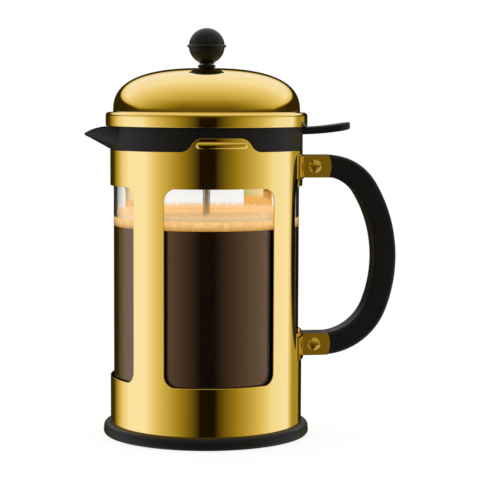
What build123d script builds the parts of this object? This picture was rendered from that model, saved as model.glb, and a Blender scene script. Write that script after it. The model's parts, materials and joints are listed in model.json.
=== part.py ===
from build123d import *
import os
from math import asin, cos, degrees, radians, sin

# A plunger coffee press, in millimetres. The origin is on the jug's upright axis at the table.
# +X points to the handle, -X to the spout and -Y to the front.

# Driving dimensions ---------------------------------------------------------------------------
gap = 0.2                   # free play between pieces that come apart
run_fit = 0.05              # radial clearance of a shaft in its hole

sleeve_r = 57.0             # outside of the metal sleeve
sleeve_wall = 0.8
sleeve_low = 3.0            # lower edge, inside the foot's groove
sleeve_top = 169.0
tongue_top = 176.8          # top of the two tongues, front and rear
tongue_half_top = 10.9      # half width of a tongue at its top
tongue_half_base = 23.5     # half width where it runs out into the sleeve's edge
bead_z = 172.8              # the pressed bead across each tongue
bead_high = 4.0
bead_proud = 1.2
bead_half_angle = 15.0

window_half_angle = 33.9
window_low = 34.9
window_low_handle = 61.5    # the window behind the handle is shorter
window_top = 148.0
window_corner = 6.8

foot_r = 61.3
foot_height = 6.8
foot_floor_top = 3.5
foot_recess = 1.0           # depth of the hollow ring under the foot
foot_hub_r = 20.0           # level middle of the underside
foot_recess_r = 52.0
foot_lip_r = 50.0           # inside of the lip between the glass and the sleeve
foot_lip_z = 6.0
foot_toe_r = 59.8           # the rounded lower edge starts here
foot_toe_z = 1.5
foot_waist = (60.9, 4.2)    # radius and height of the start, middle and end of the round shoulder
foot_shoulder = (60.0, 6.1)
foot_brow = (58.2, 6.8)
pad_r = 44.0
pad_hole_r = 28.0

glass_r = 55.0
glass_wall = 1.8
glass_low = 7.2
glass_floor = 2.5
glass_corner = 10.0
glass_top = 174.0

collar_top = 182.8
collar_skirt_low = 158.0
collar_skirt_wall = 0.75
ledge_low = 174.2           # the ledge lies over the glass's rim
ledge_top = 176.2
ledge_r = 53.6
band_inner_r = 55.3
gasket_low_r = 53.9
gasket_wide = 0.8

spout_tip = 72.2
spout_tip_z = 178.6
spout_root = 50.0
spout_root_z = 182.4
spout_level_to = 57.0       # the spout's top is level out to here, then falls to the tip
# cross-sections: distance from the axis, half width, depth and height of the top
spout_stations = (
    (50.0, 20.0, 16.9, 182.4), (59.8, 14.8, 11.3, 182.1), (67.4, 7.6, 5.5, 180.5), (72.2, 2.3, 1.4, 178.9),
)
spout_wall = 1.6

shutter_inner_r = 53.6
shutter_outer_r = 55.0
shutter_low = 176.35
shutter_top = 182.6
shutter_travel = 45.0       # degrees that the lever swings
spout_half_angle = 19.0

lever_tip = 87.0
lever_low = 178.0
lever_rise = 3.2
lever_thick = 4.3
lever_half_width = 8.5

lid_skirt_r = 59.7
lid_shell = 0.7
lid_ledge_z = 191.0
lid_corner = 2.0
dome_r = 55.3
dome_height = 26.0
dome_power = 2.6            # exponent of the dome's superellipse
dome_hole_r = 3.7

insert_wall_r = 52.6
insert_wall = 1.2
insert_low = 171.5
insert_flange_r = 58.85
insert_flange_low = 182.95
insert_flange_thick = 1.6
slot_count = 15
slot_step = 8.0             # degrees between strainer slots
slot_wide = 2.4
slot_low = 174.8
slot_high = 181.4

boss_low = 217.05           # the bushing's rounded boss stands on the dome
boss_high = 219.2
boss_r = 5.8                # at its widest
boss_wide_z = 217.95
boss_low_r = 4.4
boss_high_r = 4.2
bushing_r = 3.5
bushing_low = 208.0
nut_r = 8.0
nut_low = 212.8
nut_thick = 3.2

rod_r = 2.4
rod_low = 15.4
rod_top = 230.0
stop_r = 5.0
stop_low = 20.4
stop_high = 23.4

knob_z = 229.9
knob_r = 10.6
knob_rib_r = 11.7
knob_neck_r = 4.3
knob_low = 219.4
knob_insert_r = 3.4

cross_z = 18.0              # underside of the lowest filter plate
plate_thick = 0.8
cross_r = 49.5
hub_r = 6.0
hub_deep = 1.8
cross_holes = ((8, 36.0, 8.5), (4, 17.5, 5.5))                      # count, ring radius and hole radius
spiral_holes = ((20, 42.0, 3.2), (14, 31.0, 3.2), (8, 19.0, 3.0))
spiral_rim = 3.0
plate_gap = 0.05            # between the stacked plates
mesh_thick = 0.4
mesh_r = 52.6
mesh_rim = 4.2
spiral_r = 48.8
spring_ring_r = 50.6
spring_r = 1.45

handle_half_width = 7.5
handle_thick = 13.6         # of the bar, seen from the side
handle_start = 58.0
handle_edge = 2.5
handle_apex_x = 115.0
handle_apex_z = 104.0
handle_side_r = 86.7        # the long outer arc
handle_top_z = 165.8
handle_low_z = 45.4
handle_top_turn = 31.7      # where the long arc gives way to the corner arcs, in degrees
handle_low_turn = 21.4

ear_thick = 1.2
ear_end = 74.3
ear_bulge = 1.5
ear_margin = 0.15
flange_half_chord = 27.5
flange_thick = 1.0
screw_x = 64.4
screw_r = 1.9
barrel_r = 2.9
head_r = 3.9
head_high = 1.9
driver_slot = 1.0


# Helpers --------------------------------------------------------------------------------------
def tube(outer, inner, low, high):
    """An upright tube between two heights."""
    return extrude(Pos(0, 0, low) * (Circle(outer) - Circle(inner)), high - low)


def disc(radius, low, high):
    return extrude(Pos(0, 0, low) * Circle(radius), high - low)


def turned(*edges):
    """Spin a closed outline, drawn in radius and height, about the upright axis."""
    return revolve(Plane.XZ * make_face(edges), Axis.Z)


def turned_points(points):
    return turned(Polyline(*points, close=True))


def outward(shape_2d, near, far, angle):
    """Push a shape drawn in width and height out from the axis, from one radius to another."""
    return Rot(0, 0, angle) * extrude(Plane.YZ.offset(near) * shape_2d, far - near)


def reach(point):
    """Distance from the upright axis."""
    return (point.X ** 2 + point.Y ** 2) ** 0.5


def along_y(radius, x, z, y_from, y_to):
    """A round bar along Y."""
    return Pos(x, y_from, z) * extrude(Plane.XZ * Circle(radius), -(y_to - y_from))


# Jug ------------------------------------------------------------------------------------------
def tongue_outline(grow):
    """Tongue seen from outside: a flat top and S-shaped sides that run out level."""
    top = tongue_top + grow
    half_top = tongue_half_top + grow
    half_base = tongue_half_base + grow
    middle_x = (half_top + half_base) / 2
    middle_z = (top + sleeve_top) / 2
    foot_z = sleeve_top - 20
    edges = [Line((-half_top, top), (half_top, top))]
    for side in (1, -1):
        upper = TangentArc((side * half_top, top), (side * middle_x, middle_z), tangent=(side, 0))
        lower = TangentArc((side * half_base, sleeve_top), (side * middle_x, middle_z), tangent=(-side, 0))
        edges += [upper, lower, Line((side * half_base, sleeve_top), (side * half_base, foot_z))]
    edges.append(Line((-half_base, foot_z), (half_base, foot_z)))
    return make_face(edges)


def window(angle, low):
    wide = 2 * sleeve_r * sin(radians(window_half_angle))
    shape = Pos(0, (low + window_top) / 2) * RectangleRounded(wide, window_top - low, window_corner)
    return outward(shape, sleeve_r - 20, sleeve_r + 5, angle)


def bead(angle):
    """A pressed bead that follows the sleeve, with rounded ends."""
    wide = 2 * sleeve_r * sin(radians(bead_half_angle))
    outline = Pos(0, bead_z) * RectangleRounded(wide, bead_high, 0.48 * bead_high)
    bar = outward(outline, sleeve_r - 10, sleeve_r + 5, 0)
    bar &= tube(sleeve_r + bead_proud, sleeve_r - sleeve_wall / 2, bead_z - 5, bead_z + 5)
    outer_r = sleeve_r + bead_proud
    outer_edges = [e for e in bar.edges() if all(reach(e @ t) > outer_r - 0.1 for t in (0, 1))]
    return Rot(0, 0, angle) * fillet(outer_edges, 0.8)


def outer_sleeve():
    inner_r = sleeve_r - sleeve_wall
    sleeve = tube(sleeve_r, inner_r, sleeve_low, tongue_top)
    cut_away = tube(sleeve_r + 5, inner_r - 5, sleeve_top, tongue_top + 1)
    for angle in (90, 270):
        cut_away -= outward(tongue_outline(0), sleeve_r - 10, sleeve_r + 10, angle)
    sleeve -= cut_away
    for angle in (90, 180, 270):
        sleeve -= window(angle, window_low)
    sleeve -= window(0, window_low_handle)
    for angle in (90, 270):
        sleeve += bead(angle)
    return sleeve


def base_foot():
    groove_in = sleeve_r - sleeve_wall - gap
    groove_out = sleeve_r + gap / 2
    groove_low = sleeve_low - gap
    edges = [
        Polyline((0, 0), (foot_hub_r, 0), (foot_hub_r, foot_recess), (foot_recess_r, foot_recess),
                 (foot_recess_r, 0), (foot_toe_r, 0)),
        TangentArc((foot_toe_r, 0), (foot_r, foot_toe_z), tangent=(1, 0)),
        Line((foot_r, foot_toe_z), foot_waist),
        ThreePointArc(foot_waist, foot_shoulder, foot_brow),
        Polyline(foot_brow, (groove_out, foot_height), (groove_out, groove_low), (groove_in, groove_low),
                 (groove_in, foot_lip_z), (foot_lip_r, foot_lip_z), (foot_lip_r, foot_floor_top),
                 (0, foot_floor_top), (0, 0)),
    ]
    return turned(*edges)


def beaker_pad():
    return tube(pad_r, pad_hole_r, foot_floor_top, glass_low - gap)


def handle_curve(inset):
    """The D-shaped bar's outer line, or a line inside it, from the upper arm to the lower."""
    side_r = handle_side_r - inset
    side_x = handle_apex_x - handle_side_r
    edges = []
    ends = []
    arms = ((handle_top_z, handle_top_turn, 1), (handle_low_z, handle_low_turn, -1))
    for level, turn, up in arms:
        bend = radians(turn)
        meet_x = side_x + handle_side_r * cos(bend)
        meet_z = handle_apex_z + up * handle_side_r * sin(bend)
        corner_r = abs(level - meet_z) / (1 - sin(bend))
        centre_x = meet_x - corner_r * cos(bend)
        centre_z = level - up * corner_r
        start = turn if up > 0 else -90
        edges.append(CenterArc((centre_x, centre_z), corner_r - inset, start, 90 - turn))
        arm_z = level - up * inset
        edges.append(Line((centre_x, arm_z), (handle_start, arm_z)))
        ends.append((handle_start, arm_z))
    edges.append(CenterArc((side_x, handle_apex_z), side_r, -handle_low_turn, handle_top_turn + handle_low_turn))
    return edges, ends


def ear_outline(low, high, near, far):
    """A bracket's ear seen from the side: square at the jug and bowed at its far end."""
    middle = (low + high) / 2
    square_x = far - ear_bulge
    edges = [
        Polyline((square_x, low), (near, low), (near, high), (square_x, high)),
        ThreePointArc((square_x, high), (far, middle), (square_x, low)),
    ]
    return make_face(edges)


arm_levels = {
    "upper": (handle_top_z - handle_thick, handle_top_z),
    "lower": (handle_low_z, handle_low_z + handle_thick),
}


def handle_grip():
    outer_edges, outer_ends = handle_curve(0)
    inner_edges, inner_ends = handle_curve(handle_thick)
    closing = [Line(outer_ends[i], inner_ends[i]) for i in range(2)]
    face = make_face(outer_edges + inner_edges + closing)
    grip = extrude(Plane.XZ * face, handle_half_width, both=True)
    faces_y = grip.faces().filter_by(Axis.Y)
    long_edges = [e for f in faces_y for e in f.edges() if e.center().X > handle_start + 1]
    grip = fillet(long_edges, handle_edge)
    for low, high in arm_levels.values():
        recess = ear_outline(low - 1, high + 1, handle_start - 5, ear_end + ear_margin)
        for side in (1, -1):
            floor = side * (handle_half_width - ear_thick)
            grip -= Pos(0, floor, 0) * extrude(Plane.XZ * recess, -side * 5)
        grip -= along_y(barrel_r + run_fit, screw_x, (low + high) / 2, -20, 20)
    return grip


def handle_bracket(level, side):
    """An L of sheet metal: a curved flange on the sleeve and a flat ear beside the handle."""
    low, high = arm_levels[level]
    low += ear_margin
    high -= ear_margin
    inner = sleeve_r + run_fit
    ear_y = side * (handle_half_width - ear_thick)
    ear = Pos(0, ear_y, 0) * extrude(Plane.XZ * ear_outline(low, high, inner - 5, ear_end), -side * ear_thick)
    ear -= disc(inner, low - 1, high + 1)
    flange = tube(inner + flange_thick, inner, low, high)
    chord = flange_half_chord - (handle_half_width - ear_thick)
    middle_y = side * (flange_half_chord + handle_half_width - ear_thick) / 2
    flange &= Pos(inner, middle_y, (low + high) / 2) * Box(40, chord, high - low + 2)
    bracket = ear + flange
    hole_r = screw_r if side < 0 else barrel_r
    bracket -= along_y(hole_r + run_fit, screw_x, (low + high) / 2, -20, 20)
    return bracket


def domed_head(side):
    """A low domed screw head with a driver slot, outside one ear."""
    dome_ball_r = (head_r ** 2 + head_high ** 2) / (2 * head_high)
    ball = Pos(0, side * (handle_half_width + head_high - dome_ball_r), 0) * Sphere(dome_ball_r)
    head = ball & along_y(head_r, 0, 0, side * handle_half_width, side * (handle_half_width + head_high))
    slot_y = side * (handle_half_width + head_high)
    return head - Pos(0, slot_y, 0) * Box(3 * head_r, 1.8, driver_slot)


def handle_screw(level):
    low, high = arm_levels[level]
    shank = along_y(screw_r, 0, 0, -handle_half_width, 4.0)
    return Pos(screw_x, 0, (low + high) / 2) * (domed_head(-1) + shank)


def handle_nut(level):
    """A barrel nut with its own head, let in from the rear."""
    low, high = arm_levels[level]
    barrel = along_y(barrel_r, 0, 0, -2.0, handle_half_width)
    barrel -= along_y(screw_r + run_fit, 0, 0, -3.0, 4.5)
    return Pos(screw_x, 0, (low + high) / 2) * (domed_head(1) + barrel)


# Glass ----------------------------------------------------------------------------------------
def glass_beaker():
    inner_r = glass_r - glass_wall
    floor_top = glass_low + glass_floor
    turn_in = glass_corner - glass_wall
    edges = [
        Line((0, glass_low), (glass_r - glass_corner, glass_low)),
        TangentArc((glass_r - glass_corner, glass_low), (glass_r, glass_low + glass_corner), tangent=(1, 0)),
        Line((glass_r, glass_low + glass_corner), (glass_r, glass_top - glass_wall / 2)),
        ThreePointArc((glass_r, glass_top - glass_wall / 2), (glass_r - glass_wall / 2, glass_top),
                      (inner_r, glass_top - glass_wall / 2)),
        Line((inner_r, glass_top - glass_wall / 2), (inner_r, floor_top + turn_in)),
        TangentArc((inner_r, floor_top + turn_in), (inner_r - turn_in, floor_top), tangent=(0, -1)),
        Polyline((inner_r - turn_in, floor_top), (0, floor_top), (0, glass_low)),
    ]
    return turned(*edges)


# Collar ---------------------------------------------------------------------------------------
def spout_sections(wall):
    """The beak's cross-sections: distance from the axis, half width, depth and top height."""
    faces = []
    for out, half, depth, top in spout_stations:
        if wall:
            half = max(half - wall, 0.9)
            depth = max(depth - wall, 0.6)
        plane = Plane(origin=(-out, 0, top), x_dir=(0, 1, 0), z_dir=(-1, 0, 0))
        faces.append(plane * Ellipse(half, depth))
    return faces


def spout_side():
    """Side view that trims the beak: level at the collar and falling to the tip in a curve."""
    low = sleeve_top + gap
    brow = (-spout_level_to, spout_root_z)
    tip = (-spout_tip, spout_tip_z)
    edges = [
        Polyline(tip, (-spout_tip, low), (-spout_root, low), (-spout_root, spout_root_z), brow),
        TangentArc(brow, tip, tangent=(-1, 0)),
    ]
    return extrude(Plane.XZ * make_face(edges), 30, both=True)


def spout_collar():
    band_low = sleeve_top + gap
    skirt_in = glass_r + 0.25
    skirt_out = skirt_in + collar_skirt_wall
    gasket_high = ledge_low + 1.1
    outline = (
        (skirt_in, collar_skirt_low), (skirt_out, collar_skirt_low), (skirt_out, band_low), (sleeve_r, band_low),
        (sleeve_r, collar_top), (band_inner_r, collar_top), (band_inner_r, ledge_top), (ledge_r, ledge_top),
        (ledge_r, ledge_low), (gasket_low_r - run_fit, ledge_low), (gasket_low_r - run_fit, gasket_high),
        (gasket_low_r + gasket_wide + run_fit, gasket_high), (gasket_low_r + gasket_wide + run_fit, ledge_low),
        (skirt_in, ledge_low),
    )
    collar = turned_points(outline)
    beak = loft(spout_sections(0)) & spout_side()
    beak -= disc((band_inner_r + sleeve_r) / 2, collar_skirt_low, collar_top + 5)
    collar += beak
    channel = loft(spout_sections(spout_wall)) & Pos(-60, 0, ledge_top + 10) * Box(60, 60, 20)
    collar -= channel
    for angle in (90, 270):
        notch = outward(tongue_outline(gap), sleeve_r - 10, sleeve_r + 10, angle)
        collar -= notch - disc(skirt_out, band_low - 30, collar_top)
    swing = shutter_travel + 2 * degrees(asin(lever_half_width / sleeve_r)) + 1.2
    slot_floor = lever_low - 0.3
    slot_high = collar_top + 1 - slot_floor
    section = Plane.XZ * Pos(sleeve_r, slot_floor + slot_high / 2) * Rectangle(6, slot_high)
    start = -degrees(asin(lever_half_width / sleeve_r)) - 0.6
    collar -= Rot(0, 0, start) * revolve(section, Axis.Z, revolution_arc=swing)
    return collar


def collar_gasket():
    return tube(gasket_low_r + gasket_wide, gasket_low_r, ledge_low, ledge_low + 1.0)


def lever_blade():
    """The thumb lever: a flat bar that curves gently upwards, with a round end."""
    root = shutter_outer_r - 0.7
    run = lever_tip - root
    bend_r = (run ** 2 + lever_rise ** 2) / (2 * lever_rise)
    block = Pos(root + run / 2, lever_low + 4) * Rectangle(run, 20)
    side = extrude(Plane.XZ * block, lever_half_width, both=True)
    centre_z = lever_low + bend_r
    lower = extrude(Plane.XZ * Pos(root, centre_z) * Circle(bend_r), 20, both=True)
    upper = extrude(Plane.XZ * Pos(root, centre_z + lever_thick) * Circle(bend_r), 20, both=True)
    blade = (side & lower) - upper
    round_end = Pos(lever_tip - lever_half_width, 0, lever_low + 5) * Cylinder(lever_half_width, 30)
    straight = Pos((root + lever_tip - lever_half_width) / 2, 0, lever_low + 5) * Box(
        lever_tip - lever_half_width - root, 2 * lever_half_width, 30)
    blade &= straight + round_end
    outer_edges = [e for e in blade.edges() if e.center().X > sleeve_r + 4 and e.length > 8]
    return fillet(outer_edges, 0.9)


def shutter_ring():
    ring = tube(shutter_outer_r, shutter_inner_r, shutter_low, shutter_top)
    wide = 2 * shutter_outer_r * sin(radians(spout_half_angle))
    ring -= Pos(-shutter_outer_r, 0, shutter_low + 4) * Box(20, wide, 20)
    return ring + lever_blade()


# Lid ------------------------------------------------------------------------------------------
def dome_curve(inset):
    """Superellipse from the dome's foot to the rim of its centre hole."""
    across = dome_r - inset
    height = dome_height - inset
    steps = 14
    points = []
    last = degrees(asin((1 - (dome_hole_r / across) ** dome_power) ** 0.5))
    for i in range(steps + 1):
        t = radians(last * i / steps)
        points.append((across * cos(t) ** (2 / dome_power), lid_ledge_z + height * sin(t) ** (2 / dome_power)))
    return Spline(*points, tangents=[(0, 1), (-1, 0)]), points[-1]


def lid_dome():
    outer, outer_top = dome_curve(0)
    inner, inner_top = dome_curve(lid_shell)
    skirt_in = lid_skirt_r - lid_shell
    ledge_in = lid_ledge_z - lid_shell
    dome_in = dome_r - lid_shell
    brow_r = lid_skirt_r - lid_corner
    brow_z = lid_ledge_z - lid_corner
    edges = [
        outer,
        Line((dome_r, lid_ledge_z), (brow_r, lid_ledge_z)),
        TangentArc((brow_r, lid_ledge_z), (lid_skirt_r, brow_z), tangent=(1, 0)),
        Polyline((lid_skirt_r, brow_z), (lid_skirt_r, collar_top), (skirt_in, collar_top), (skirt_in, brow_z)),
        TangentArc((skirt_in, brow_z), (brow_r, ledge_in), tangent=(0, 1)),
        Polyline((brow_r, ledge_in), (dome_in, ledge_in), (dome_in, lid_ledge_z)),
        inner,
        Line(inner_top, outer_top),
    ]
    return turned(*edges)


def lid_insert():
    """Plastic lining: a flange on the collar, a wall inside the glass and strainer slots at the spout."""
    inner_r = insert_wall_r - insert_wall
    flange_top = insert_flange_low + insert_flange_thick
    rim_r = dome_r - lid_shell - 0.6
    outline = (
        (inner_r, insert_low), (insert_wall_r, insert_low), (insert_wall_r, insert_flange_low),
        (insert_flange_r, insert_flange_low), (insert_flange_r, flange_top), (rim_r, flange_top),
        (rim_r, lid_ledge_z + 1), (rim_r - insert_wall, lid_ledge_z + 1), (rim_r - insert_wall, flange_top),
        (inner_r, flange_top),
    )
    insert = turned_points(outline)
    slot_z = (slot_low + slot_high) / 2
    for i in range(slot_count):
        angle = 180 + slot_step * (i - (slot_count - 1) / 2)
        insert -= Rot(0, 0, angle) * Pos(insert_wall_r, 0, slot_z) * Box(6, slot_wide, slot_high - slot_low)
    return insert


def lid_bushing():
    """Guide bush for the rod, with a rounded boss above the dome."""
    hole = rod_r + run_fit
    edges = [
        Polyline((boss_low_r, boss_low), (bushing_r, boss_low), (bushing_r, bushing_low), (hole, bushing_low),
                 (hole, boss_high), (boss_high_r, boss_high)),
        ThreePointArc((boss_high_r, boss_high), (boss_r, boss_wide_z), (boss_low_r, boss_low)),
    ]
    return turned(*edges)


def bushing_nut():
    nut = extrude(Pos(0, 0, nut_low) * RegularPolygon(nut_r, 6), nut_thick)
    return nut - disc(bushing_r + run_fit, nut_low - 1, nut_low + nut_thick + 1)


# Plunger --------------------------------------------------------------------------------------
def cross_plate():
    """Lowest plate, with a threaded hub for the rod and openings between its arms."""
    plate = disc(cross_r, cross_z, cross_z + plate_thick)
    plate += disc(hub_r, cross_z - hub_deep, cross_z + plate_thick)
    for count, ring_r, hole_r in cross_holes:
        for i in range(count):
            plate -= Rot(0, 0, 360 * (i + 0.5) / count) * Pos(ring_r, 0, cross_z) * Cylinder(hole_r, 6)
    return plate - disc(rod_r + run_fit, cross_z - 5, cross_z + 5)


def mesh_screen():
    """Woven screen, drawn as a thin cup with an upturned rim."""
    low = cross_z + plate_thick + plate_gap
    cup = disc(mesh_r, low, low + mesh_thick) + tube(mesh_r, mesh_r - mesh_thick, low, low + mesh_rim)
    return cup - disc(rod_r + 0.3, low - 1, low + 1)


def spiral_plate():
    """Upper plate, with rings of holes and a turned-up edge."""
    low = cross_z + plate_thick + mesh_thick + 2 * plate_gap
    plate = disc(spiral_r, low, low + plate_thick)
    plate += tube(spiral_r, spiral_r - plate_thick, low, low + spiral_rim)
    for count, ring_r, hole_r in spiral_holes:
        for i in range(count):
            plate -= Rot(0, 0, 360 * i / count) * Pos(ring_r, 0, low) * Cylinder(hole_r, 4)
    return plate - disc(rod_r + 0.3, low - 1, low + 2)


def edge_spring():
    """The coil that rings the filter, drawn as its outer shape."""
    low = cross_z + plate_thick + mesh_thick + 2 * plate_gap
    return Pos(0, 0, low + spring_r) * Torus(spring_ring_r, spring_r)


def plunger_rod():
    return disc(rod_r, rod_low, rod_top)


def rod_stop():
    """Shoulder on the rod that holds the plates down."""
    stop = disc(stop_r, stop_low, stop_high)
    stop = fillet(stop.edges().sort_by(Axis.Z)[-1], 1.0)
    return stop - disc(rod_r, stop_low - 1, stop_high + 1)


def knob():
    ball = Pos(0, 0, knob_z) * Sphere(knob_r)
    rib = turned_points(((8, knob_z - 1.1), (knob_r - 0.1, knob_z - 1.1), (knob_rib_r, knob_z - 0.3),
                         (knob_rib_r, knob_z + 0.3), (knob_r - 0.1, knob_z + 1.1), (8, knob_z + 1.1)))
    body = ball + rib + disc(knob_neck_r, knob_low, knob_low + 3)
    return body - disc(knob_insert_r + run_fit, knob_low - 1, rod_top + 1.1)


def knob_insert():
    return disc(knob_insert_r, knob_low + 0.3, rod_top + 1.0) - disc(rod_r, knob_low, rod_top)


# Write one file per node ----------------------------------------------------------------------
def all_nodes():
    nodes = {
        "outer_sleeve": outer_sleeve(), "base_foot": base_foot(), "beaker_pad": beaker_pad(),
        "handle_grip": handle_grip(), "glass_beaker": glass_beaker(), "spout_collar": spout_collar(),
        "collar_gasket": collar_gasket(), "shutter_ring": shutter_ring(), "lid_dome": lid_dome(),
        "lid_insert": lid_insert(), "lid_bushing": lid_bushing(), "bushing_nut": bushing_nut(),
        "cross_plate": cross_plate(), "mesh_screen": mesh_screen(), "spiral_plate": spiral_plate(),
        "edge_spring": edge_spring(), "plunger_rod": plunger_rod(), "rod_stop": rod_stop(),
        "knob": knob(), "knob_insert": knob_insert(),
    }
    for level in arm_levels:
        nodes[level + "_handle_screw"] = handle_screw(level)
        nodes[level + "_handle_nut"] = handle_nut(level)
        nodes[level + "_bracket_front"] = handle_bracket(level, -1)
        nodes[level + "_bracket_rear"] = handle_bracket(level, 1)
    return nodes


os.makedirs("parts", exist_ok=True)
for name, shape in all_nodes().items():
    export_step(shape, "parts/" + name + ".step")
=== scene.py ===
import json
from math import asin, cos, degrees, pi, radians, sin, sqrt
import bpy
import bmesh
from mathutils import Matrix, Vector, noise


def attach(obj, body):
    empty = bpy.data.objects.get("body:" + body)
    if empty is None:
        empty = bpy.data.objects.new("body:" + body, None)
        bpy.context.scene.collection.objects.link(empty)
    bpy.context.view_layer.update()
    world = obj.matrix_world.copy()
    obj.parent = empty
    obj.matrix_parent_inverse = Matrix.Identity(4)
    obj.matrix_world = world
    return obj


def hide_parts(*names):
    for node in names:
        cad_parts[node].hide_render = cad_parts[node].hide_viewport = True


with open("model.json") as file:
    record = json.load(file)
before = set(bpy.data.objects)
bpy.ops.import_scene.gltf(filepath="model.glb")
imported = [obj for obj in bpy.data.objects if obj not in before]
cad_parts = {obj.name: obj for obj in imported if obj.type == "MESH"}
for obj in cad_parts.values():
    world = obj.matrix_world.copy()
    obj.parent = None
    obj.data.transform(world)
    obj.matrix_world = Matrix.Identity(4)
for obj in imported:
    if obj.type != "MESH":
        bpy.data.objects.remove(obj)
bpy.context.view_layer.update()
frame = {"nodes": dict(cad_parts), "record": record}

mm = 0.001
nodes = frame["nodes"]
print("frame loaded:", len(nodes), "nodes")


# small tools for outlines and meshes

# corners are (radius, height) or (radius, height, rounding); returns the outline with its corners rounded
def rounded(corners, stepAngle=12):
    points = []
    count = len(corners)
    for i, corner in enumerate(corners):
        here = Vector(corner[:2])
        if len(corner) < 3:
            points.append(here)
            continue
        before = (Vector(corners[i - 1][:2]) - here).normalized()
        after = (Vector(corners[(i + 1) % count][:2]) - here).normalized()
        opening = before.angle(after)
        reach = corner[2] / sin(opening / 2)
        centre = here + (before + after).normalized() * reach
        start = here + before * (corner[2] / (sin(opening / 2) / cos(opening / 2)))
        turn = pi - opening
        side = 1 if before.x * after.y - before.y * after.x < 0 else -1
        steps = max(2, round(degrees(turn) / stepAngle))
        for k in range(steps + 1):
            arm = start - centre
            arm.rotate(Matrix.Rotation(side * turn * k / steps, 2))
            points.append(centre + arm)
    return points


# a closed outline in millimetres turned about the upright axis
def turnedShape(outline, steps=192):
    shape = bmesh.new()
    ring = [shape.verts.new((p[0] * mm, 0, p[1] * mm)) for p in outline]
    for i, vert in enumerate(ring):
        other = ring[(i + 1) % len(ring)]
        if abs(vert.co.x) > 1e-7 or abs(other.co.x) > 1e-7:
            shape.edges.new((vert, other))
    bmesh.ops.spin(shape, geom=shape.verts[:] + shape.edges[:], cent=(0, 0, 0), axis=(0, 0, 1),
                   dvec=(0, 0, 0), angle=2 * pi, steps=steps, use_merge=True)
    bmesh.ops.remove_doubles(shape, verts=shape.verts, dist=1e-6)
    bmesh.ops.recalc_face_normals(shape, faces=shape.faces)
    return shape


# makes the finished object, smooth except at corners sharper than the given angle
def makePiece(name, shape, body, material, replaced=(), sharp=38):
    mesh = bpy.data.meshes.new(name)
    shape.to_mesh(mesh)
    shape.free()
    mesh.shade_smooth()
    mesh.set_sharp_from_angle(angle=radians(sharp))
    mesh.materials.append(material)
    piece = bpy.data.objects.new(name, mesh)
    bpy.context.scene.collection.objects.link(piece)
    # keeps straight walls straight beside narrow roundings
    even = piece.modifiers.new("even", "WEIGHTED_NORMAL")
    even.keep_sharp = True
    even.weight = 80
    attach(piece, body)
    if replaced:
        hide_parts(*replaced)
    return piece


# materials

def newMaterial(name):
    material = bpy.data.materials.new(name)
    material.use_nodes = True
    tree = material.node_tree
    shader = tree.nodes["Principled BSDF"]
    return material, tree, shader


def addNode(tree, kind, **inputs):
    node = tree.nodes.new(kind)
    for key, value in inputs.items():
        node.inputs[key.replace("_", " ")].default_value = value
    return node


def mathNode(tree, operation, first, second=None):
    node = tree.nodes.new("ShaderNodeMath")
    node.operation = operation
    for i, value in enumerate((first, second)):
        if value is None:
            continue
        if isinstance(value, (int, float)):
            node.inputs[i].default_value = value
        else:
            tree.links.new(value, node.inputs[i])
    return node.outputs["Value"]


def newGroup(name, inputs, outputs):
    group = bpy.data.node_groups.new(name, "ShaderNodeTree")
    for socket, value in inputs.items():
        made = group.interface.new_socket(name=socket, in_out="INPUT", socket_type="NodeSocketFloat")
        made.default_value = value
    for socket in outputs:
        group.interface.new_socket(name=socket, in_out="OUTPUT", socket_type="NodeSocketFloat")
    return group, group.nodes.new("NodeGroupInput"), group.nodes.new("NodeGroupOutput")


# fine moulded or rolled grain: a height and a mask
def grainGroup():
    group, entry, leave = newGroup("fineGrain", {"Scale": 900.0, "Detail": 2.0}, ["Height", "Mask"])
    place = group.nodes.new("ShaderNodeTexCoord")
    grain = addNode(group, "ShaderNodeTexNoise", Roughness=0.6)
    patches = addNode(group, "ShaderNodeTexNoise", Scale=18.0, Detail=3.0)
    link = group.links.new
    link(place.outputs["Object"], grain.inputs["Vector"])
    link(place.outputs["Object"], patches.inputs["Vector"])
    link(entry.outputs["Scale"], grain.inputs["Scale"])
    link(entry.outputs["Detail"], grain.inputs["Detail"])
    link(grain.outputs["Fac"], leave.inputs["Height"])
    link(patches.outputs["Fac"], leave.inputs["Mask"])
    return group


# faint wiping marks: a roughness between two values
def smudgeGroup():
    group, entry, leave = newGroup("wipedSurface", {"Scale": 30.0, "Low": 0.03, "High": 0.06}, ["Roughness"])
    place = group.nodes.new("ShaderNodeTexCoord")
    marks = addNode(group, "ShaderNodeTexNoise", Detail=4.0, Roughness=0.65, Distortion=0.6)
    spread = addNode(group, "ShaderNodeMapRange", From_Min=0.35, From_Max=0.7)
    link = group.links.new
    link(place.outputs["Object"], marks.inputs["Vector"])
    link(entry.outputs["Scale"], marks.inputs["Scale"])
    link(marks.outputs["Fac"], spread.inputs["Value"])
    link(entry.outputs["Low"], spread.inputs["To Min"])
    link(entry.outputs["High"], spread.inputs["To Max"])
    link(spread.outputs["Result"], leave.inputs["Roughness"])
    return group


fineGrain = grainGroup()
wipedSurface = smudgeGroup()


def placeGroup(tree, group, **values):
    node = tree.nodes.new("ShaderNodeGroup")
    node.node_tree = group
    for key, value in values.items():
        node.inputs[key].default_value = value
    return node


def addBump(tree, shader, height, strength, distance):
    bump = addNode(tree, "ShaderNodeBump", Strength=strength, Distance=distance)
    tree.links.new(height, bump.inputs["Height"])
    tree.links.new(bump.outputs["Normal"], shader.inputs["Normal"])


goldLook = {"color": (0.96, 0.73, 0.28, 1), "low": 0.02, "high": 0.045}


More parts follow.
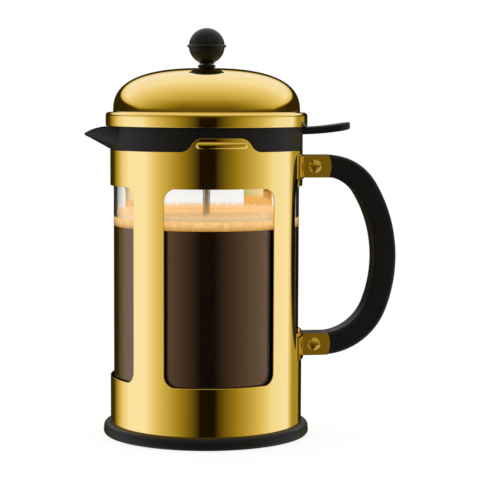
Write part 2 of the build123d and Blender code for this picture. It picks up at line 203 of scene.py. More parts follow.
def goldMaterial():
    material, tree, shader = newMaterial("goldPlate")
    shader.inputs["Base Color"].default_value = goldLook["color"]
    shader.inputs["Metallic"].default_value = 1.0
    marks = placeGroup(tree, wipedSurface, Scale=25.0, Low=goldLook["low"], High=goldLook["high"])
    tree.links.new(marks.outputs["Roughness"], shader.inputs["Roughness"])
    return material


plasticLook = {"color": (0.0068, 0.0062, 0.0094, 1), "paler": (0.0084, 0.0078, 0.0112, 1), "low": 0.34,
               "high": 0.46, "shine": 0.28, "sheen": (0.75, 0.84, 1.0, 1), "grain": 1400.0, "bump": 0.1}


def plasticMaterial():
    material, tree, shader = newMaterial("blackPlastic")
    grain = placeGroup(tree, fineGrain, Scale=plasticLook["grain"], Detail=2.0)
    tint = tree.nodes.new("ShaderNodeMix")
    tint.data_type = "RGBA"
    tint.inputs["A"].default_value = plasticLook["color"]
    tint.inputs["B"].default_value = plasticLook["paler"]
    shader.inputs["Specular IOR Level"].default_value = plasticLook["shine"]
    shader.inputs["Specular Tint"].default_value = plasticLook["sheen"]
    marks = placeGroup(tree, wipedSurface, Scale=40.0, Low=plasticLook["low"], High=plasticLook["high"])
    tree.links.new(grain.outputs["Mask"], tint.inputs["Factor"])
    tree.links.new(tint.outputs["Result"], shader.inputs["Base Color"])
    tree.links.new(marks.outputs["Roughness"], shader.inputs["Roughness"])
    addBump(tree, shader, grain.outputs["Height"], plasticLook["bump"], 0.0002)
    return material


def glassMaterial():
    material, tree, shader = newMaterial("clearGlass")
    shader.inputs["Base Color"].default_value = (0.985, 0.995, 0.99, 1)
    shader.inputs["Transmission Weight"].default_value = 1.0
    shader.inputs["Roughness"].default_value = 0.0
    shader.inputs["IOR"].default_value = 1.47
    return material


steelLook = {"color": (0.6, 0.6, 0.6, 1), "low": 0.2, "high": 0.34}


def steelMaterial():
    material, tree, shader = newMaterial("satinSteel")
    shader.inputs["Base Color"].default_value = steelLook["color"]
    shader.inputs["Metallic"].default_value = 1.0
    marks = placeGroup(tree, wipedSurface, Scale=60.0, Low=steelLook["low"], High=steelLook["high"])
    grain = placeGroup(tree, fineGrain, Scale=1800.0, Detail=1.0)
    tree.links.new(marks.outputs["Roughness"], shader.inputs["Roughness"])
    addBump(tree, shader, grain.outputs["Height"], 0.08, 0.0002)
    return material


# plain weave from two crossed sets of wires
def wovenMaterial():
    material, tree, shader = newMaterial("wovenSteel")
    shader.inputs["Metallic"].default_value = 1.0
    shader.inputs["Roughness"].default_value = 0.34
    place = tree.nodes.new("ShaderNodeTexCoord")
    link = tree.links.new
    waves = []
    for direction in ("X", "Y"):
        wave = addNode(tree, "ShaderNodeTexWave", Scale=240.0)
        wave.bands_direction = direction
        link(place.outputs["Object"], wave.inputs["Vector"])
        waves.append(wave)
    weave = tree.nodes.new("ShaderNodeMath")
    weave.operation = "MAXIMUM"
    link(waves[0].outputs["Fac"], weave.inputs[0])
    link(waves[1].outputs["Fac"], weave.inputs[1])
    # darker between the wires: painted shade in the gaps of the weave
    tint = tree.nodes.new("ShaderNodeMix")
    tint.data_type = "RGBA"
    tint.inputs["A"].default_value = (0.08, 0.08, 0.08, 1)
    tint.inputs["B"].default_value = (0.62, 0.62, 0.62, 1)
    link(weave.outputs["Value"], tint.inputs["Factor"])
    link(tint.outputs["Result"], shader.inputs["Base Color"])
    addBump(tree, shader, weave.outputs["Value"], 0.6, 0.0003)
    return material


def plainMaterial(name, color, roughness, metallic=0.0):
    material, tree, shader = newMaterial(name)
    shader.inputs["Base Color"].default_value = color
    shader.inputs["Metallic"].default_value = metallic
    grain = placeGroup(tree, fineGrain, Scale=1100.0, Detail=2.0)
    marks = placeGroup(tree, wipedSurface, Scale=50.0, Low=roughness * 0.85, High=roughness * 1.15)
    tree.links.new(marks.outputs["Roughness"], shader.inputs["Roughness"])
    addBump(tree, shader, grain.outputs["Height"], 0.1, 0.0002)
    return material


coffeeLook = {"color": (0.148, 0.069, 0.037, 1), "roughness": 0.06, "metallic": 0.74}


def coffeeMaterial():
    material, tree, shader = newMaterial("blackCoffee")
    shader.inputs["Base Color"].default_value = coffeeLook["color"]
    shader.inputs["Roughness"].default_value = coffeeLook["roughness"]
    shader.inputs["Metallic"].default_value = coffeeLook["metallic"]
    return material


# the froth band's glow is painted light: it shines because the lid and sleeve shade it
film = {"low": 128.8, "top": 135.4, "radius": 53.14, "thick": 0.1, "color": (0.85, 0.66, 0.42, 1),
        "glow": (0.5, 0.36, 0.19, 1)}  # froth on the glass
# the two glow colours below are painted light: the foam glows because the lid and sleeve shade it
foamLook = {"pale": (0.92, 0.6, 0.27, 1), "deep": (0.45, 0.18, 0.02, 1), "paintedTopGlow": (0.7, 0.43, 0.17, 1),
            "paintedSideGlow": (0.31, 0.165, 0.015, 1)}


# small bubbles in tan foam, darker where it meets the coffee
def foamMaterial():
    material, tree, shader = newMaterial("coffeeFoam")
    shader.inputs["Roughness"].default_value = 0.55
    place = tree.nodes.new("ShaderNodeTexCoord")
    bubbles = addNode(tree, "ShaderNodeTexVoronoi", Scale=520.0)
    patches = addNode(tree, "ShaderNodeTexNoise", Scale=90.0, Detail=5.0)
    link = tree.links.new
    link(place.outputs["Object"], bubbles.inputs["Vector"])
    link(place.outputs["Object"], patches.inputs["Vector"])
    height = tree.nodes.new("ShaderNodeSeparateXYZ")
    link(place.outputs["Object"], height.inputs["Vector"])
    fade = addNode(tree, "ShaderNodeMapRange", From_Min=0.1238, From_Max=0.1262)
    link(height.outputs["Z"], fade.inputs["Value"])
    speckle = addNode(tree, "ShaderNodeMapRange", From_Min=0.3, From_Max=0.75, To_Min=0.75, To_Max=1.0)
    link(patches.outputs["Fac"], speckle.inputs["Value"])
    factor = tree.nodes.new("ShaderNodeMath")
    factor.operation = "MULTIPLY"
    link(fade.outputs["Result"], factor.inputs[0])
    link(speckle.outputs["Result"], factor.inputs[1])
    tint = tree.nodes.new("ShaderNodeMix")
    tint.data_type = "RGBA"
    tint.inputs["A"].default_value = foamLook["deep"]
    tint.inputs["B"].default_value = foamLook["pale"]
    link(factor.outputs["Value"], tint.inputs["Factor"])
    link(tint.outputs["Result"], shader.inputs["Base Color"])
    # painted glow, strongest on top: it stands in for light passing through the foam, which the lid and
    # sleeve shade
    rise = addNode(tree, "ShaderNodeMapRange", From_Min=0.1238, From_Max=0.128)
    link(height.outputs["Z"], rise.inputs["Value"])
    glow = tree.nodes.new("ShaderNodeMix")
    glow.data_type = "RGBA"
    glow.inputs["A"].default_value = foamLook["paintedSideGlow"]
    glow.inputs["B"].default_value = foamLook["paintedTopGlow"]
    link(rise.outputs["Result"], glow.inputs["Factor"])
    froth = addNode(tree, "ShaderNodeTexNoise", Scale=420.0, Detail=4.0, Roughness=0.7)
    link(place.outputs["Object"], froth.inputs["Vector"])
    speckles = addNode(tree, "ShaderNodeMapRange", From_Min=0.3, From_Max=0.7, To_Min=0.7, To_Max=1.3)
    link(froth.outputs["Fac"], speckles.inputs["Value"])
    varied = tree.nodes.new("ShaderNodeMix")
    varied.data_type = "RGBA"
    varied.blend_type = "MULTIPLY"
    varied.inputs["Factor"].default_value = 1.0
    link(glow.outputs["Result"], varied.inputs["A"])
    link(speckles.outputs["Result"], varied.inputs["B"])
    link(varied.outputs["Result"], shader.inputs["Emission Color"])
    shader.inputs["Emission Strength"].default_value = 1.0
    addBump(tree, shader, bubbles.outputs["Distance"], 0.5, 0.0006)
    return material


# bubbles left on the glass above the foam: solid where they meet it and ragged higher up
def filmMaterial():
    material, tree, shader = newMaterial("frothFilm")
    shader.inputs["Base Color"].default_value = film["color"]
    shader.inputs["Roughness"].default_value = 0.5
    # painted glow on the froth, standing in for light that the lid and sleeve keep off
    shader.inputs["Emission Color"].default_value = film["glow"]
    shader.inputs["Emission Strength"].default_value = 1.0
    link = tree.links.new
    place = tree.nodes.new("ShaderNodeTexCoord")
    height = tree.nodes.new("ShaderNodeSeparateXYZ")
    link(place.outputs["Object"], height.inputs["Vector"])
    fade = addNode(tree, "ShaderNodeMapRange", From_Min=film["low"] * mm, From_Max=film["top"] * mm,
                   To_Min=1.25, To_Max=0.0)
    link(height.outputs["Z"], fade.inputs["Value"])
    bubbles = addNode(tree, "ShaderNodeTexNoise", Scale=330.0, Detail=6.0, Roughness=0.75)
    patches = addNode(tree, "ShaderNodeTexNoise", Scale=45.0, Detail=2.0)
    link(place.outputs["Object"], bubbles.inputs["Vector"])
    link(place.outputs["Object"], patches.inputs["Vector"])
    unevenness = mathNode(tree, "MULTIPLY", patches.outputs["Fac"], 0.5)
    level = mathNode(tree, "ADD", fade.outputs["Result"], unevenness)
    ragged = mathNode(tree, "SUBTRACT", level, bubbles.outputs["Fac"])
    cover = addNode(tree, "ShaderNodeMapRange", From_Min=-0.12, From_Max=0.6)
    link(ragged, cover.inputs["Value"])
    link(cover.outputs["Result"], shader.inputs["Alpha"])
    return material


goldPlate = goldMaterial()
blackPlastic = plasticMaterial()
clearGlass = glassMaterial()
satinSteel = steelMaterial()
wovenSteel = wovenMaterial()
silicone = plainMaterial("softSilicone", (0.05, 0.05, 0.053, 1), 0.6)
brass = plainMaterial("turnedBrass", (0.72, 0.5, 0.2, 1), 0.3, 1.0)
dullGold = plainMaterial("dullGold", (0.62, 0.43, 0.1, 1), 0.3, 1.0)
blackCoffee = coffeeMaterial()
coffeeFoam = foamMaterial()
frothFilm = filmMaterial()
print("materials made")

slotMaterials = {"gold_metal": goldPlate, "black_plastic": blackPlastic, "clear_glass": clearGlass,
                 "steel": satinSteel, "woven_steel": wovenSteel, "silicone": silicone, "brass_insert": brass}
for part in frame["record"]["subparts"]:
    cadNode = nodes[part["node"]]
    cadNode.data.materials.clear()
    cadNode.data.materials.append(slotMaterials[part["material_slot"]])
for name in ("upper_handle_screw", "lower_handle_screw"):
    nodes[name].data.materials[0] = dullGold


# sleeve: four wall panels, each a frame round its window, rolled to the tube's radius

sleeve = {"radius": 57.0, "wall": 0.8, "low": 3.0, "top": 169.0, "tongueTop": 176.8, "halfTop": 10.9,
          "halfBase": 23.5, "windowHalf": 33.9, "windowLow": 34.9, "windowLowHandle": 61.5,
          "windowTop": 148.0, "corner": 6.8,
          "cornerSteps": 10, "sideSteps": 40, "acrossSteps": 64, "bands": 9, "edge": 0.2}


# height of the sleeve's top edge at a distance along it from the middle of a tongue
def tongueEdge(along):
    across = abs(sleeve["radius"] * sin(along / sleeve["radius"]))
    rise = sleeve["tongueTop"] - sleeve["top"]
    run = sleeve["halfBase"] - sleeve["halfTop"]
    bend = (run * run + rise * rise) / (4 * rise)
    t = min(max(across - sleeve["halfTop"], 0), run)
    if t < run / 2:
        return sleeve["tongueTop"] - bend + sqrt(bend * bend - t * t)
    t = run - t
    return sleeve["top"] + bend - sqrt(bend * bend - t * t)


def sleevePanel(angle, low, tongue):
    shape = bmesh.new()
    radius = sleeve["radius"]
    half = radius * radians(sleeve["windowHalf"])
    corner = sleeve["corner"]
    top = sleeve["windowTop"]
    edge = radius * pi / 4
    inner = []
    outer = []
    sides = (
        ((half, low), (half, top), sleeve["sideSteps"], (edge, sleeve["low"]), (edge, sleeve["top"])),
        ((half, top), (-half, top), sleeve["acrossSteps"], (edge, sleeve["top"]), (-edge, sleeve["top"])),
        ((-half, top), (-half, low), sleeve["sideSteps"], (-edge, sleeve["top"]), (-edge, sleeve["low"])),
        ((-half, low), (half, low), sleeve["acrossSteps"], (-edge, sleeve["low"]), (edge, sleeve["low"])),
    )
    for k, (start, end, steps, outStart, outEnd) in enumerate(sides):
        start, end = Vector(start), Vector(end)
        outStart, outEnd = Vector(outStart), Vector(outEnd)
        way = (end - start).normalized()
        straightStart = start + way * corner
        straightEnd = end - way * corner
        turnCentre = straightEnd + Vector((-way.y, way.x)) * corner
        total = steps + sleeve["cornerSteps"]
        for i in range(steps):
            inner.append(straightStart.lerp(straightEnd, i / steps))
            outer.append(outStart.lerp(outEnd, (i + sleeve["cornerSteps"] / 2) / total))
        for i in range(sleeve["cornerSteps"]):
            arm = straightEnd - turnCentre
            arm.rotate(Matrix.Rotation(pi / 2 * i / sleeve["cornerSteps"], 2))
            inner.append(turnCentre + arm)
            place = (steps + i + sleeve["cornerSteps"] / 2) / total
            if place <= 1:
                outer.append(outStart.lerp(outEnd, place))
            else:
                following = sides[(k + 1) % 4]
                nextTotal = following[2] + sleeve["cornerSteps"]
                extra = (place - 1) * total / nextTotal
                outer.append(Vector(following[3]).lerp(Vector(following[4]), extra))
    loops = []
    for points, isOuter in ((inner, False), (outer, True)):
        ring = []
        for along, height in points:
            if isOuter and tongue and height > sleeve["top"] - 0.01:
                height = tongueEdge(along)
            ring.append(shape.verts.new((along, 0, height)))
        loops.append(ring)
    count = len(inner)
    for i in range(count):
        j = (i + 1) % count
        shape.faces.new((loops[0][i], loops[0][j], loops[1][j], loops[1][i]))
    cross = [shape.edges.get((loops[0][i], loops[1][i])) for i in range(count)]
    bmesh.ops.subdivide_edges(shape, edges=cross, cuts=sleeve["bands"], use_grid_fill=True)
    for vert in shape.verts:
        turn = angle + vert.co.x / radius
        vert.co = Vector((radius * cos(turn), radius * sin(turn), vert.co.z)) * mm
    return shape


def sleeveShape():
    shape = bmesh.new()
    for quarter in range(4):
        angle = quarter * pi / 2
        low = sleeve["windowLowHandle"] if quarter == 0 else sleeve["windowLow"]
        panel = sleevePanel(angle, low, quarter % 2 == 1)
        flat = bpy.data.meshes.new("panel")
        panel.to_mesh(flat)
        panel.free()
        shape.from_mesh(flat)
        bpy.data.meshes.remove(flat)
    bmesh.ops.remove_doubles(shape, verts=shape.verts, dist=2e-5)
    bmesh.ops.recalc_face_normals(shape, faces=shape.faces)
    outwards = 0
    for face in shape.faces:
        spot = face.calc_center_median()
        outwards += face.normal.x * spot.x + face.normal.y * spot.y
    if outwards < 0:
        bmesh.ops.reverse_faces(shape, faces=shape.faces)
    return shape


# points the normals of the rolled walls straight out or in, so that reflections run smoothly over them
def rollNormals(mesh):
    normals = [Vector(n.vector) for n in mesh.corner_normals]
    for face in mesh.polygons:
        middle = Vector((face.center.x, face.center.y, 0)).normalized()
        facing = face.normal.dot(middle)
        if abs(facing) < 0.995:
            continue
        for i in face.loop_indices:
            spot = mesh.vertices[mesh.loops[i].vertex_index].co
            normals[i] = Vector((spot.x, spot.y, 0)).normalized() * (1 if facing > 0 else -1)
    mesh.normals_split_custom_set(normals)


def applyModifiers(piece):
    graph = bpy.context.evaluated_depsgraph_get()
    finished = bpy.data.meshes.new_from_object(piece.evaluated_get(graph))
    piece.modifiers.clear()
    piece.data = finished


def makeSleeve():
    shape = sleeveShape()
    piece = makePiece("sleeveWall", shape, "jug", goldPlate, ("outer_sleeve",))
    piece.modifiers.clear()
    wall = piece.modifiers.new("wall", "SOLIDIFY")
    wall.thickness = sleeve["wall"] * mm
    wall.offset = -1
    edge = piece.modifiers.new("edge", "BEVEL")
    edge.width = sleeve["edge"] * mm
    edge.segments = 2
    edge.limit_method = "ANGLE"
    edge.angle_limit = radians(50)
    applyModifiers(piece)
    piece.data.shade_smooth()
    piece.data.set_sharp_from_angle(angle=radians(50))
    rollNormals(piece.data)


bead = {"height": 172.8, "half": 2.0, "proud": 1.2, "halfAngle": 13.0, "steps": 26, "curve": 12}


# a pressed bead across each tongue, with rounded ends
def makeBeads():
    shape = bmesh.new()
    radius = sleeve["radius"] - 0.05
    for middle in (-pi / 2, pi / 2):
        arch = []
        for i in range(bead["curve"] + 1):
            t = pi * (i / bead["curve"] - 0.5)
            reach = radius + bead["proud"] * cos(t)
            arch.append((reach * mm, (bead["height"] + bead["half"] * sin(t)) * mm))
        for end in (-1, 1):
            turn = middle + end * radians(bead["halfAngle"])
            away = Vector((cos(turn), sin(turn), 0))
            upper = [shape.verts.new((away.x * r, away.y * r, z)) for r, z in arch[bead["curve"] // 2:]]
            edges = [shape.edges.new((upper[i], upper[i + 1])) for i in range(len(upper) - 1)]
            middlePoint = away * radius * mm + Vector((0, 0, bead["height"] * mm))
            bmesh.ops.spin(shape, geom=upper + edges, cent=middlePoint, axis=away, dvec=(0, 0, 0),
                           angle=-end * pi, steps=bead["curve"], use_merge=False)
        turn = middle - radians(bead["halfAngle"])
        row = [shape.verts.new((cos(turn) * r, sin(turn) * r, z)) for r, z in arch]
        edges = [shape.edges.new((row[i], row[i + 1])) for i in range(len(row) - 1)]
        bmesh.ops.spin(shape, geom=row + edges, cent=(0, 0, 0), axis=(0, 0, 1), dvec=(0, 0, 0),
                       angle=2 * radians(bead["halfAngle"]), steps=bead["steps"], use_merge=False)
    bmesh.ops.remove_doubles(shape, verts=shape.verts, dist=1e-5)
    bmesh.ops.recalc_face_normals(shape, faces=shape.faces)
    for face in shape.faces[:]:
        spot = face.calc_center_median()
        if face.normal.x * spot.x + face.normal.y * spot.y < 0:
            face.normal_flip()
    makePiece("tongueBeads", shape, "jug", goldPlate)


makeSleeve()
makeBeads()
print("sleeve made")


# foot ring

foot = {"radius": 61.3, "height": 6.8, "floor": 3.5, "recess": 1.0, "grooveIn": 55.9, "grooveOut": 57.15,
        "grooveFloor": 2.8, "rim": 6.0}


def makeFoot():
    outline = rounded([
        (0, 0), (20, 0, 0.3), (20.5, foot["recess"], 0.3), (51.5, foot["recess"], 0.3), (52, 0, 0.3),
        (60.4, 0, 1.0), (foot["radius"], 1.3, 1.4), (60.8, foot["height"], 2.4),
        (foot["grooveOut"], foot["height"], 0.25), (foot["grooveOut"], foot["grooveFloor"]),
        (foot["grooveIn"], foot["grooveFloor"]), (foot["grooveIn"], foot["rim"], 0.3), (50, foot["rim"], 0.6),
        (50, foot["floor"], 0.5), (0, foot["floor"]),
    ])
    makePiece("footRing", turnedShape(outline, 240), "jug", blackPlastic, ("base_foot",))


makeFoot()


# glass and what is in it

glass = {"radius": 55.0, "wall": 1.8, "low": 7.2, "floor": 2.5, "corner": 10.0, "top": 174.0}
drink = {"coffeeTop": 124.2, "foamTop": 129.0, "radius": 53.22, "rings": 34, "rimStart": 48.0,
         "rimWidth": 5.2, "rimRise": 0.5}
lumps = ((260, 0.35), (900, 0.22))  # how closely they sit and how high they stand


def makeGlass():
    inner = glass["radius"] - glass["wall"]
    floorTop = glass["low"] + glass["floor"]
    outline = rounded([
        (0, glass["low"]), (glass["radius"], glass["low"], glass["corner"]),
        (glass["radius"], glass["top"], 0.85), (inner, glass["top"], 0.85),
        (inner, floorTop, glass["corner"] - glass["wall"]), (0, floorTop),
    ], 7)
    shape = turnedShape(outline, 256)
    makePiece("beakerGlass", shape, "beaker", clearGlass, ("glass_beaker",))


def makeDrink():
    floorTop = glass["low"] + glass["floor"] - 0.02
    coffee = rounded([(0, floorTop), (drink["radius"], floorTop, glass["corner"] - glass["wall"]),
                      (drink["radius"], drink["coffeeTop"]), (0, drink["coffeeTop"])], 7)
    makePiece("coffee", turnedShape(coffee, 256), "beaker", blackCoffee)
    radius = drink["radius"]
    top = drink["foamTop"]
    low = drink["coffeeTop"] + 0.02
    outline = [(0, low), (radius, low), (radius, top + drink["rimRise"])]
    for i in range(drink["rings"]):
        reach = (1 - i / drink["rings"]) * (radius - 0.6)
        climb = max(0, (reach - drink["rimStart"]) / drink["rimWidth"]) ** 2
        outline.append((reach, top + drink["rimRise"] * climb))
    outline.append((0, top))
    shape = turnedShape(outline, 220)
    for vert in shape.verts:
        reach = sqrt(vert.co.x ** 2 + vert.co.y ** 2) / mm
        if vert.co.z > (top - 0.2) * mm and reach < radius - 0.3:
            vert.co.z += sum(noise.noise(vert.co * density) * height for density, height in lumps) * mm
    makePiece("foam", shape, "beaker", coffeeFoam, sharp=60)
    inside = film["radius"] - film["thick"]
    band = [(inside, film["low"]), (film["radius"], film["low"]), (film["radius"], film["top"]),
            (inside, film["top"])]
    makePiece("frothBand", turnedShape(band, 128), "beaker", frothFilm)


makeGlass()
makeDrink()
print("glass and coffee made")


# lid, boss and knob

lid = {"skirt": 59.7, "shell": 0.7, "low": 182.8, "ledge": 191.0, "dome": 55.3, "height": 26.0, "power": 2.6,
       "hole": 3.7, "corner": 2.0}


def domePoints(inset, steps=56):
    across = lid["dome"] - inset
    height = lid["height"] - inset
    last = asin(sqrt(1 - (lid["hole"] / across) ** lid["power"]))
    power = 2 / lid["power"]
    turns = [last * i / steps for i in range(steps + 1)]
    return [(across * cos(turn) ** power, lid["ledge"] + height * sin(turn) ** power) for turn in turns]


def makeLid():
    skirtIn = lid["skirt"] - lid["shell"]
    ledgeIn = lid["ledge"] - lid["shell"]
    start = rounded([
        (lid["dome"] - lid["shell"], ledgeIn), (skirtIn, ledgeIn, lid["corner"] - lid["shell"]),
        (skirtIn, lid["low"], 0.2),
        (lid["skirt"], lid["low"], 0.3), (lid["skirt"], lid["ledge"], lid["corner"]),
        (lid["dome"], lid["ledge"], 0.35), (lid["dome"], lid["ledge"] + 6),
    ], 9)[:-1]
    outer = [p for p in domePoints(0) if p[1] > lid["ledge"] + 0.45]
    inner = [p for p in domePoints(lid["shell"]) if p[1] > lid["ledge"] - 0.01]
    outline = start + outer + inner[::-1]
    makePiece("lidDome", turnedShape(outline, 320), "lid", goldPlate, ("lid_dome",), sharp=50)


boss = {"foot": 208.0, "low": 217.05, "top": 219.2, "widest": 5.8, "stem": 3.5, "hole": 2.45}


def makeBoss():
    outline = rounded([
        (boss["hole"], boss["foot"]), (boss["stem"], boss["foot"], 0.3), (boss["stem"], boss["low"]),
        (4.4, boss["low"], 0.1),
        (boss["widest"], 217.9, 0.7), (4.2, boss["top"], 0.4), (boss["hole"], boss["top"]),
    ])
    makePiece("rodBoss", turnedShape(outline, 96), "lid", blackPlastic, ("lid_bushing",))


knob = {"centre": 229.9, "radius": 10.6, "rib": 11.7, "ribAngle": 0.09, "neck": 4.3, "low": 219.4,
        "hollow": 3.45, "hollowTop": 231.1}


def makeKnob():
    neckAngle = asin(knob["neck"] / knob["radius"])
    ribAngle = knob["ribAngle"]
    outline = [(0, knob["hollowTop"]), (knob["hollow"], knob["hollowTop"]), (knob["hollow"], knob["low"]),
               (knob["neck"], knob["low"])]
    outline.append((knob["neck"], knob["centre"] - knob["radius"] * cos(neckAngle) - 0.25))
    lower = [neckAngle + (pi / 2 - ribAngle - neckAngle) * i / 20 for i in range(1, 21)]
    outline += [(knob["radius"] * sin(a), knob["centre"] - knob["radius"] * cos(a)) for a in lower]
    outline += [(knob["rib"] - 0.15, knob["centre"] - 0.4), (knob["rib"], knob["centre"] - 0.15),
                (knob["rib"], knob["centre"] + 0.15), (knob["rib"] - 0.15, knob["centre"] + 0.35)]
    upper = [pi / 2 + ribAngle + (pi / 2 - ribAngle) * i / 22 for i in range(23)]
    outline += [(knob["radius"] * sin(a), knob["centre"] - knob["radius"] * cos(a)) for a in upper[:-1]]
    outline.append((0, knob["centre"] + knob["radius"]))
    shape = turnedShape(outline, 128)
    makePiece("ballKnob", shape, "rod", blackPlastic, ("knob",), sharp=45)


makeLid()
makeBoss()
makeKnob()
print("lid made")


# plunger rod and the coil round the filter's edge

rod = {"radius": 2.15, "low": 15.4, "top": 230.0}
coil = {"ring": 50.6, "tube": 1.2, "wire": 0.24, "turns": 150, "perTurn": 10, "height": 20.75}


def makeRod():
    outline = rounded([(0, rod["low"]), (rod["radius"], rod["low"], 0.5), (rod["radius"], rod["top"], 0.3),
                       (0, rod["top"])])
    makePiece("rodBar", turnedShape(outline, 48), "rod", satinSteel, ("plunger_rod",))


def makeCoil():
    curve = bpy.data.curves.new("coilLine", "CURVE")
    curve.dimensions = "3D"
    curve.bevel_depth = coil["wire"] * mm
    curve.bevel_resolution = 1
    spline = curve.splines.new("POLY")
    count = coil["turns"] * coil["perTurn"]
    spline.points.add(count - 1)
    for i in range(count):
        turn = 2 * pi * i / count
        twist = 2 * pi * i / coil["perTurn"]
        reach = coil["ring"] + coil["tube"] * cos(twist)
        height = coil["height"] + coil["tube"] * sin(twist)
        spot = Vector((reach * cos(turn), reach * sin(turn), height)) * mm
        spline.points[i].co = (*spot, 1)
    spline.use_cyclic_u = True
    line = bpy.data.objects.new("coilLine", curve)
    mesh = bpy.data.meshes.new_from_object(line)
    bpy.data.objects.remove(line)
    shape = bmesh.new()
    shape.from_mesh(mesh)
    makePiece("edgeCoil", shape, "filter", satinSteel, ("edge_spring",))


makeRod()
makeCoil()
print("plunger made")


# studio: world, floor and camera

shot = {"azimuth": -8.9, "distance": 1.0206, "height": 0.2, "aim": (0.0198, -0.0031, 0.1151), "lens": 128.9,
        "roll": 0.22}
studio = {"background": (1.0, 1.0, 1.0, 1), "low": -0.45, "high": 0.4, "near": 0.85, "far": -0.5,
          "farEdge": 14.6}

# lights as (angle in degrees, brightness), with an even change from one to the next
# round the object, left of the camera below zero: a dark strip in front and a wide bright panel on each side
wallLight = ((-180, 0.02), (-145, 0.05), (-120, 0.85), (-105, 1.0), (-77, 1.0), (-7, 0.01), (10, 0.01),
             (85, 0.95), (115, 1.0), (127, 0.4), (145, 0.4), (150, 0.02), (180, 0.02))
# upwards from the horizon, on the camera's side a soft rise and on the far side the edge of a bright wall
frontLight = ((0, 0.1), (35, 0.5), (90, 0.68))
backLight = ((0, 0.03), (1.5, 0.05), (5, 0.8), (12, 0.97), (90, 0.97))
# dim light is warm and bright light is white
warmth = ((0.0, (1, 0.7, 0.1)), (0.3, (1, 0.77, 0.06)), (0.7, (1, 0.87, 0.38)), (0.85, (1, 0.92, 0.63)),
          (1.0, (1, 1.03, 1.2)))


def fillRamp(ramp, stops, low, high):
    elements = ramp.color_ramp.elements
    elements.remove(elements[-1])
    for i, (place, value) in enumerate(stops):
        element = elements[0] if i == 0 else elements.new((place - low) / (high - low))
        element.position = (place - low) / (high - low)
        element.color = (*value, 1) if isinstance(value, tuple) else (value, value, value, 1)


def makeWorld():
    world = bpy.data.worlds.new("studio")
    bpy.context.scene.world = world
    world.use_nodes = True
    tree = world.node_tree
    tree.nodes.clear()
    link = tree.links.new
    place = tree.nodes.new("ShaderNodeTexCoord")
    turn = tree.nodes.new("ShaderNodeMapping")
    turn.inputs["Rotation"].default_value = (0, 0, radians(-shot["azimuth"]))
    link(place.outputs["Generated"], turn.inputs["Vector"])
    parts = tree.nodes.new("ShaderNodeSeparateXYZ")
    link(turn.outputs["Vector"], parts.inputs["Vector"])
    x, y, z = parts.outputs
    front = mathNode(tree, "MULTIPLY", y, -1.0)
    turned = mathNode(tree, "DIVIDE", mathNode(tree, "ARCTAN2", x, front), 2 * pi)
    azimuth = mathNode(tree, "ADD", turned, 0.5)
    elevation = mathNode(tree, "DIVIDE", mathNode(tree, "ARCSINE", z), pi / 2)
    # the far light starts higher straight behind the object than at its sides
    lift = mathNode(tree, "MULTIPLY", mathNode(tree, "MINIMUM", front, 0.0), studio["farEdge"] / 90)
    farElevation = mathNode(tree, "ADD", elevation, lift)
    lights = []
    for stops, low, high, value in ((wallLight, -180, 180, azimuth), (frontLight, 0, 90, elevation),
                                    (backLight, 0, 90, farElevation)):
        ramp = tree.nodes.new("ShaderNodeValToRGB")
        fillRamp(ramp, stops, low, high)
        link(value, ramp.inputs["Fac"])
        lights.append(ramp.outputs["Color"])

    def blend(low, high, start, end, value):
        share = addNode(tree, "ShaderNodeMapRange", From_Min=start, From_Max=end)
        link(value, share.inputs["Value"])
        mix = tree.nodes.new("ShaderNodeMix")
        link(share.outputs["Result"], mix.inputs["Factor"])
        link(low, mix.inputs["A"])
        link(high, mix.inputs["B"])
        return mix.outputs["Result"]

    overhead = blend(lights[2], lights[1], studio["far"], studio["near"], front)
    level = blend(lights[0], overhead, studio["low"] / 90, studio["high"] / 90, elevation)
    tint = tree.nodes.new("ShaderNodeValToRGB")
    fillRamp(tint, warmth, 0, 1)
    link(level, tint.inputs["Fac"])
    rays = tree.nodes.new("ShaderNodeLightPath")
    # only mirror reflections show the warm tone
    colored = tree.nodes.new("ShaderNodeMix")
    colored.data_type = "RGBA"
    colored.inputs["A"].default_value = (1, 1, 1, 1)
    unfiltered = mathNode(tree, "SUBTRACT", 1.0, rays.outputs["Is Transmission Ray"])
    link(mathNode(tree, "MULTIPLY", rays.outputs["Is Glossy Ray"], unfiltered), colored.inputs["Factor"])
    link(tint.outputs["Color"], colored.inputs["B"])
    studioLight = tree.nodes.new("ShaderNodeBackground")
    link(colored.outputs["Result"], studioLight.inputs["Color"])
    link(level, studioLight.inputs["Strength"])
    plain = tree.nodes.new("ShaderNodeBackground")
    plain.inputs["Color"].default_value = studio["background"]
    bounced = mathNode(tree, "ADD", rays.outputs["Glossy Depth"], rays.outputs["Diffuse Depth"])
    seen = mathNode(tree, "LESS_THAN", bounced, 0.5)
    choose = tree.nodes.new("ShaderNodeMixShader")
    link(seen, choose.inputs["Fac"])
    link(studioLight.outputs["Background"], choose.inputs[1])
    link(plain.outputs["Background"], choose.inputs[2])
    output = tree.nodes.new("ShaderNodeOutputWorld")
    link(choose.outputs["Shader"], output.inputs["Surface"])


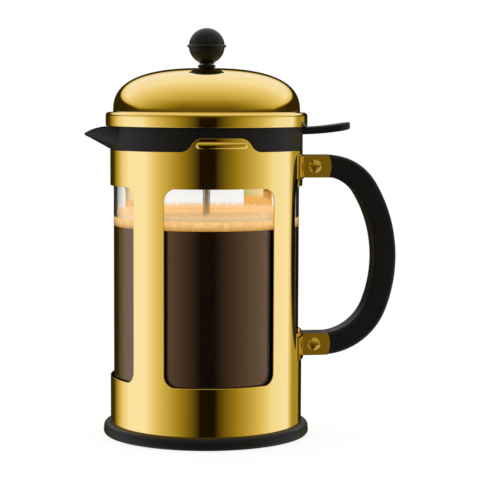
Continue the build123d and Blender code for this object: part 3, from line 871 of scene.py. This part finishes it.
floorLook = {"radius": 1.2, "color": (0.32, 0.32, 0.32, 1), "glow": 0.8, "clear": 0.16, "gone": 0.5}


# pale floor that fades into the background
def makeFloor():
    shape = bmesh.new()
    bmesh.ops.create_circle(shape, cap_ends=True, radius=floorLook["radius"], segments=96)
    mesh = bpy.data.meshes.new("floor")
    shape.to_mesh(mesh)
    shape.free()
    material, tree, shader = newMaterial("paleFloor")
    shader.inputs["Base Color"].default_value = floorLook["color"]
    shader.inputs["Roughness"].default_value = 1.0
    shader.inputs["Emission Color"].default_value = (1, 1, 1, 1)
    shader.inputs["Emission Strength"].default_value = floorLook["glow"]
    shader.inputs["Specular IOR Level"].default_value = 0.0
    place = tree.nodes.new("ShaderNodeTexCoord")
    reach = tree.nodes.new("ShaderNodeVectorMath")
    reach.operation = "LENGTH"
    fade = addNode(tree, "ShaderNodeMapRange", From_Min=floorLook["clear"], From_Max=floorLook["gone"],
                   To_Min=1.0, To_Max=0.0)
    tree.links.new(place.outputs["Object"], reach.inputs[0])
    tree.links.new(reach.outputs["Value"], fade.inputs["Value"])
    tree.links.new(fade.outputs["Result"], shader.inputs["Alpha"])
    mesh.materials.append(material)
    floor = bpy.data.objects.new("floor", mesh)
    bpy.context.scene.collection.objects.link(floor)
    floor.location = (0, 0, -0.0002)
    floor.visible_glossy = False
    floor.visible_transmission = False


def makeCamera():
    camera = bpy.data.cameras.new("camera")
    camera.lens = shot["lens"]
    camera.sensor_width = 36
    holder = bpy.data.objects.new("camera", camera)
    bpy.context.scene.collection.objects.link(holder)
    angle = radians(shot["azimuth"])
    holder.location = (sin(angle) * shot["distance"], -cos(angle) * shot["distance"], shot["height"])
    look = (Vector(shot["aim"]) - holder.location).to_track_quat("-Z", "Y").to_matrix().to_4x4()
    holder.rotation_euler = (look @ Matrix.Rotation(radians(shot["roll"]), 4, "Z")).to_euler()
    bpy.context.scene.camera = holder


makeWorld()
makeFloor()
makeCamera()
bpy.context.scene.view_settings.view_transform = "Standard"
print("studio made")
